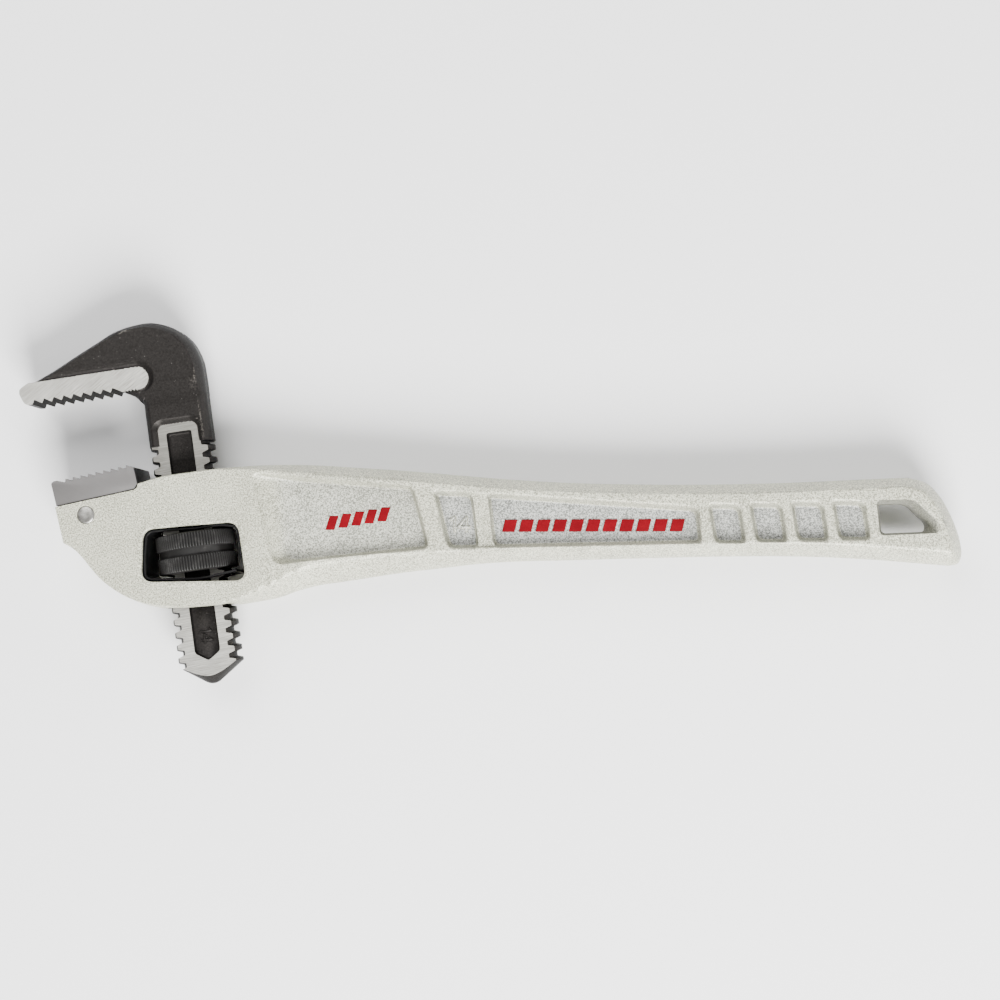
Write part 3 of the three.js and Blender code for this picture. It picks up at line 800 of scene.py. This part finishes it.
def make_marks():
    """On both faces: plain red slanted bars, a long row in the long pocket and a short stepped
    group in the first, and the size number in bare metal between them."""
    floor = GRIP_HALF - POCKET_DEPTH
    root = floor - 0.4
    for side in ("front", "back"):
        bars = [raised_bar((124.2 + 6.6 * i, 8.2 + 0.03 * i), (4.9, 4.8), 1.2, root, floor + 0.5)
                for i in range(11)]
        bars += [raised_bar((53.5 + 5.2 * i, 8.9 + 0.85 * i), (3.6, 5.6), 1.7, root, floor + 0.2)
                 for i in range(5)]
        number = numerals("size_number_" + side, (103.4, 8.3), 5.8, 1.0, floor - 0.3, floor + 0.75)
        bars = merged("red_bars_" + side, bars)
        if side == "back":
            flip_to_back(bars)
            flip_to_back(number)
        finish_piece(bars, "wrench_body", RED)
        finish_piece(number, "wrench_body", CAST, smooth=60)


# ======================= heel jaw and its pin =======================

def make_heel_jaw():
    """The block's side outline with its saw teeth, through the full thickness, and the tongue
    below it. Each tooth is a steep rise at its outer side and a long fall inwards."""
    outline = [(0.35, 0.35), (HEEL_LENGTH - 2, 0.35), (HEEL_LENGTH - 0.3, 2.2),
               (HEEL_LENGTH - 0.5, 8.9)]
    for tooth in range(TOOTH_COUNT):
        tip = HEEL_LENGTH - 3.4 - tooth * 3.16
        outline += [(tip, HEEL_HEIGHT), (tip - 0.4, HEEL_HEIGHT - 1.4)]
    outline += [(2.6, HEEL_HEIGHT - 0.02), (1.2, HEEL_HEIGHT), (0.2, HEEL_HEIGHT - 0.5),
                (0.0, HEEL_HEIGHT - 1.2)]
    block = on_seat("heel_jaw_block", outline, HEEL_HALF)
    soften(block, 0.12)
    combine(block, on_seat("tongue", box(4, 28.8, -10.5, 2), 5), "UNION")
    finish_piece(block, "wrench_body", HEEL_STEEL, "heel_jaw", smooth=25)


def make_heel_pin():
    """A pin whose ends are shallow domes: over a quarter turn its radius falls as cos^0.8 while
    its height grows by 0.65 sin."""
    turn = np.linspace(0, np.pi / 2, 14)
    dome = np.c_[PIN_RADIUS * np.cos(turn)**0.8, HOUSING_HALF - 0.05 + 0.65 * np.sin(turn)]
    profile = np.vstack([dome[::-1] * (1, -1), dome])
    pin = spun("heel_jaw_pin_domed", profile, "z", (*PIN_CENTRE, 0), 72)
    finish_piece(pin, "wrench_body", PIN_STEEL, "heel_jaw_pin", smooth=60)


# ======================= hook jaw =======================

# The hook's inner and outer lines in pairs, from the tip round the bend to the neck.
INNER_LINE = [(-61.1, 70.8), (-60.0, 68.9), (-57.5, 68.2), (-48, 68.2), (-38, 68.2), (-28, 68.2),
              (-22, 68.2), (-18.3, 67.1), (-15.4, 65.1), (-13.6, 62.3), (-12.95, 59.5),
              (-12.8, 57), (-12.85, 53.5), (-12.85, 49), (-12.85, 44)]
OUTER_LINE = [(-61.9, 73.2), (-61.2, 75.2), (-56.5, 77.6), (-47, 81.5), (-37, 86.1), (-28.6, 89.8),
              (-21.1, 93), (-12.7, 94.5), (-4.5, 94.2), (3.5, 90.7), (9.3, 85), (12.3, 77.5),
              (12.95, 70.3), (12.9, 58), (12.85, 44)]
PAD_LINE = np.array([(-75.0, 72.3), (-13.0, 72.3)])
PAD_REACH = 4.8


def paired(line, where):
    """A smooth line through paired points, read by the points' numbers, so that two lines keep
    step with each other."""
    line = np.asarray(line, float)
    at = np.asarray(where) * (len(line) - 1)
    i = np.clip(at.astype(int), 0, len(line) - 2)
    t = (at - i)[:, None]
    slope = np.gradient(line, axis=0)
    return ((2 * t**3 - 3 * t**2 + 1) * line[i] + (t**3 - 2 * t**2 + t) * slope[i]
            + (3 * t**2 - 2 * t**3) * line[i + 1] + (t**3 - t**2) * slope[i + 1])


def hook_height(points):
    """Half thickness of the hook. The forging is thickest at the bend and thins by smooth steps
    to the tip's and the neck's. At a distance d it rounds off towards its outer line as
    3.5 + 8.2 (d / 2.9)^0.8, and towards the throat and inner neck as 3.5 + 8 (d / 3.2)^0.75. The
    ground pad is flat within PAD_REACH of its line, with a concave wall round its inner end
    that grows as 2.6 (d / 2.8)^2. The shank's ground sides run out upwards into the neck, and
    below 62 the neck stays inside a circle of NECK_RADIUS, to enter the housing's slot."""
    x, y = points[..., 0], points[..., 1]
    places = np.linspace(0, 1, 160)
    forging = (TIP_HALF + (HEAD_HALF - TIP_HALF) * smooth_step((x + 58) / 36)
               - (HEAD_HALF - NECK_HALF) * smooth_step((77 - y) / 18) * smooth_step((x + 20) / 8))
    outer = distance_to(points, paired(OUTER_LINE, places))
    inner = distance_to(points, paired(INNER_LINE, places))
    height = soft_min(forging, 3.5 + 8.2 * (outer / 2.9)**0.8, 1.0)
    throat = smooth_step((x + 24) / 8)
    rounded_in = soft_min(height, 3.5 + 8.0 * (inner / 3.2)**0.75, 1.2)
    height = height + (rounded_in - height) * throat
    off_pad = distance_to(points, PAD_LINE) - PAD_REACH
    wall = PAD_HALF - 0.35 + 2.6 * np.clip(off_pad / 2.8, 0, 4)**2
    height = np.where(off_pad < 0, np.where(y > 66, PAD_HALF, height), soft_min(height, wall, 0.3))
    ground_end = rounded_box_distance(points, (0.05, 40.0), (8.4, 12.6), 3.0)
    runout = SHANK_HALF + 2.2 * np.clip((ground_end + 0.1) / 2.4, 0, 2)**0.8
    round_neck = np.sqrt(np.maximum(NECK_RADIUS**2 - x**2, 0.01)) + 20 * smooth_step((y - 62) / 6)
    return np.minimum(np.minimum(height, runout), round_neck)


def rounded_box_distance(points, centre, half, corner):
    """Signed distance to a box with round corners: positive outside it."""
    q = np.abs(points - np.asarray(centre)) - (np.asarray(half) - corner)
    return np.linalg.norm(np.maximum(q, 0), axis=-1) + np.minimum(q.max(-1), 0) - corner


def make_hook_head(along=300, across=74):
    """Sheets between the inner and outer lines, crowding towards both, joined all round by a
    wall: the rim's points repeated at six shares of their height."""
    u = np.linspace(0, 1, along)
    inner, outer = paired(INNER_LINE, u), paired(OUTER_LINE, u)
    edge = np.array([0, 0.012, 0.03, 0.052, 0.08, 0.112])
    between = np.linspace(edge[-1], 1 - edge[-1], across - 10)[1:-1]
    v = np.concatenate([edge, between, 1 - edge[::-1]])[:, None]
    grid = inner[:, None] * (1 - v) + outer[:, None] * v
    height = hook_height(grid)
    front = np.dstack([grid, height])
    rim = np.concatenate([front[:, 0], front[-1, 1:], front[-2::-1, -1], front[0, -2:0:-1]])
    wall = np.stack([rim * (1, 1, level) for level in (1.0, 0.6, 0.2, -0.2, -0.6, -1.0)])
    return sheets("forged_hook_jaw", grid, height, LEAN, wall)


def threaded_rod(name, low, high, steps=120):
    """The shank's thread. A rounded tooth profile, radius against height within one pitch,
    climbs one pitch a turn; at low and high it closes to the root radius and then the axis."""
    rise = np.linspace(-0.5, 0.5, 17)[:-1]
    flank = smooth_step((np.abs(rise) * PITCH - 0.85) / 0.9)
    radius = THREAD_MAJOR + (THREAD_MINOR - THREAD_MAJOR) * flank
    first = math.floor((low - THREAD_PHASE) / PITCH) - 2
    turns = math.ceil((high - low) / PITCH) + 5
    share = np.arange(steps + 1) / steps
    climb = first + np.arange(turns)[:, None] + rise
    heights = THREAD_PHASE + PITCH * (climb.ravel() + share[:, None])
    radii = np.where((heights > low) & (heights < high), np.tile(radius, turns), THREAD_MINOR)
    heights = np.clip(heights, low, high)
    angle = share[:, None] * 2 * np.pi
    skin = np.stack([radii * np.sin(angle), heights, radii * np.cos(angle)], -1)
    rows, columns = radii.shape
    points = np.vstack([skin.reshape(-1, 3), [(0, low, 0), (0, high, 0)]])
    start = np.arange(steps) * columns
    last = start + columns - 1
    low_end = np.full(steps, rows * columns)
    caps = np.vstack([np.c_[low_end, start + columns, start],
                      np.c_[low_end + 1, last, last + columns]])
    return new_object(name, points, [grid_quads(rows, columns), caps], LEAN)


def shank_pocket(side):
    """The cutter of the pocket forged into the shank's face: an outline with a pointed end,
    drawn in towards its middle from the face to the floor."""
    outline = rounded_loop([(-4.85, 48.9, 1.1), (5.6, 48.9, 1.1), (5.6, -40.4, 1.2),
                            (0.4, -43.8, 1.0), (-4.85, -40.4, 1.2)], 4)
    middle = outline.mean(0)
    shrink = 1 - np.array([[-0.1, -0.011], [0, 0], [0.1, 0.011], [0.19, 0.022]])
    loops = [at_height(middle + (outline - middle) * share, side * z)
             for share, z in zip(shrink, (9.5, 6.4, 4.3, 4.0))]
    return stacked("shank pocket", loops, LEAN)


def tooth_gap(root):
    """The cutter between two hook teeth, from its root at 70 down past their tips: steep on one
    side and sloping on the other."""
    outline = [(root, 70.0), (root + 3.05 / 1.8 * 4, 66.0), (root - 1 / 1.8 * 4, 66.0)]
    return prism("tooth gap", outline, -BEYOND, BEYOND, LEAN)


def make_hook_jaw():
    """The head joined to the thread. The thread is first kept inside a slab, which leaves its
    ground sides, and inside a cone with a round nose at the bottom. Then the shank's pockets
    and the gaps between the teeth are cut."""
    hook = make_hook_head()
    rod = threaded_rod("shank", THREAD_LOW, THREAD_HIGH)
    slab = prism("slab", box(-20, 20, -60, 60), -SHANK_HALF, SHANK_HALF, LEAN)
    combine(rod, slab, "INTERSECT")
    t = np.linspace(0, 1, 8)
    nose = np.c_[3.0 * t, -53.1 + 0.95 * t**2]
    cone = np.vstack([nose, [(16, -43.1), (16, 60), (0, 60)]])
    combine(rod, spun("cone", cone, "y", steps=120, angle=LEAN), "INTERSECT")
    combine(hook, rod, "UNION")
    for side in (1, -1):
        combine(hook, shank_pocket(side), "DIFFERENCE")
    for tooth in range(TOOTH_COUNT):
        combine(hook, tooth_gap(-56 + 4.06 * tooth), "DIFFERENCE")
    finish_piece(hook, "hook", FORGED, "hook_jaw", smooth=35)
    number = numerals("shank_number", (-1.9, -30.5), 4.4, 0.8, 3.8, 4.75, -math.pi / 2, LEAN)
    finish_piece(number, "hook", FORGED, smooth=60)


# ======================= adjusting nut =======================

def make_nut():
    """Stacked rings (radius, height, share of the flutes) about the shank's axis. Over the two
    bands the radius falls into flutes as 1 - |cos|^0.7; the groove, the hub and the bore, which
    just clears the shank's thread, are plain."""
    steps = NUT_FLUTES * 10
    turn = np.linspace(0, 2 * np.pi, steps, endpoint=False)
    flute = FLUTE_DEPTH * (1 - np.abs(np.cos(turn * NUT_FLUTES / 2))**0.7)
    rings = [(13.4, -7.95, 0), (13.9, -7.7, 0), (15.3, -NUT_HALF, 0), (15.75, -7.5, 0.6),
             (NUT_RADIUS, -7.15, 1), (NUT_RADIUS, -2.0, 1), (15.75, -1.65, 0.6), (15.2, -1.45, 0),
             (14.9, -1.3, 0), (14.9, 1.3, 0), (15.2, 1.45, 0), (15.75, 1.65, 0.6),
             (NUT_RADIUS, 2.0, 1), (NUT_RADIUS, 7.15, 1), (15.75, 7.5, 0.6), (15.3, NUT_HALF, 0),
             (13.9, 7.7, 0), (13.4, 7.95, 0), (13.35, 7.95, 0), (13.35, -7.95, 0), (13.4, -7.95, 0)]
    loops = []
    for radius, height, share in rings:
        r = radius - flute * share
        loops.append(np.stack([r * np.sin(turn), np.full(steps, height), r * np.cos(turn)], -1))
    nut = stacked("knurled_nut", loops, LEAN, capped=False)
    finish_piece(nut, "nut", BLACK_NUT, "adjusting_nut")


# ======================= springs =======================

def band_route():
    """The band's line round the window: handle side, over the nut, far side and back under it."""
    line = [(20.35, -1.2), (19.2, 6.2), (18.75, 8.3), (17.8, 10.05), (15.6, 10.5), (0, 9.3),
            (-13.6, 8.3), (-16.6, 7.9), (-18.1, 6.4), (-18.35, 4), (-18.6, -7.4), (-18.3, -9.9),
            (-16.4, -11), (-13, -11.1), (-3, -10.9), (3, -10.6), (8.3, -9.7), (14, -8.3),
            (18.4, -7.2)]
    return through(line, np.linspace(0, 1, 150))


def make_band(worn=0.2):
    """A thin strip with worn edges carried along its route, and cut where the shank passes."""
    route = band_route()
    along = np.gradient(route, axis=0)
    across = np.c_[-along[:, 1], along[:, 0]] / np.linalg.norm(along, axis=1)[:, None]
    t, w = BAND_HALF_THICK, BAND_HALF_WIDTH
    section = [(-t, -w + worn), (-t + worn, -w), (t - worn, -w), (t, -w + worn),
               (t, w - worn), (t - worn, w), (-t + worn, w), (-t, w - worn)]
    loops = np.stack([at_height(route + across * off, z) for off, z in section], axis=1)
    band = stacked("black_spring_band", loops)
    way = flatted_bar("way", SLOT_RADIUS, SHANK_HALF + 1.3, -BEYOND, BEYOND)
    combine(band, way, "DIFFERENCE")
    finish_piece(band, "rocking_springs", BLACK_BAND, "nut_band_spring")


# ======================= scene =======================

def make_camera():
    """The camera stands 925 mm in front of the wrench, a little towards the grip and below."""
    data = bpy.data.cameras.new("camera")
    data.sensor_width = 36
    data.lens = 84.6
    camera = linked("camera", data)
    turn = Matrix.Rotation(math.radians(2.9), 3, "X") @ Matrix.Rotation(math.radians(5.7), 3, "Y")
    aim = Vector((7.754, 0.59, 27.0)) / 1000
    camera.matrix_world = Matrix.Translation(aim + turn @ Vector((0, 0, 0.9252))) @ turn.to_4x4()
    bpy.context.scene.camera = camera


def area_light(name, place, size, power):
    """A square light in metres and watts that faces the scene's middle."""
    data = bpy.data.lights.new(name, "AREA")
    data.shape = "SQUARE"
    data.size = size
    data.energy = power
    light = linked(name, data)
    light.location = place
    light.rotation_mode = "QUATERNION"
    light.rotation_quaternion = (-Vector(place)).to_track_quat("-Z", "Y")


def make_studio(reach=6.0, level=-0.0004):
    """A pale floor and sky. The key light stands below the wrench and the fill to its upper
    left, both over a metre in front; a small light to the right catches the edges."""
    mesh = bpy.data.meshes.new("floor")
    corners = at_height(box(-reach, reach, -reach, reach), level)
    mesh.from_pydata(corners.tolist(), [], [(0, 1, 2, 3)])
    finish = Finish("pale floor", Base_Color=(0.92, 0.92, 0.92, 1), Roughness=0.9)
    mesh.materials.append(finish.material)
    linked("floor", mesh)
    world = bpy.data.worlds.new("studio")
    world.use_nodes = True
    sky = world.node_tree.nodes["Background"].inputs
    sky["Color"].default_value = (1, 1, 1, 1)
    sky["Strength"].default_value = 0.35
    bpy.context.scene.world = world
    area_light("key", (0.4, -1.15, 1.05), 0.9, 104)
    area_light("fill", (-0.45, 0.85, 1.2), 1.2, 26)
    area_light("edge", (1.3, 0.5, 0.55), 0.3, 6)


CAST = cast_finish()
RED = red_paint()
HEEL_STEEL = machined_finish("ground heel jaw", HEEL_SLOPE, (0.14, 0.134, 0.13),
                             (0.006, 0.006, 0.0065))
PIN_STEEL = bright_pin_finish()
FORGED = forged_finish()
BLACK_NUT = blackened_finish("blackened nut", LEAN, (0.011, 0.0105, 0.01), 0.8)
BLACK_BAND = blackened_finish("blackened spring", 0.0, (0.004, 0.004, 0.004), 0.3)
SPRING_STEEL = spring_finish()

make_camera()
make_studio()
make_handle()
make_marks()
make_heel_jaw()
make_heel_pin()
make_hook_jaw()
make_nut()
make_band()
for name in ("shank_leaf_spring", "shank_coil_spring"):
    node = frame["nodes"][name]
    node.data.materials.clear()
    node.data.materials.append(SPRING_STEEL)
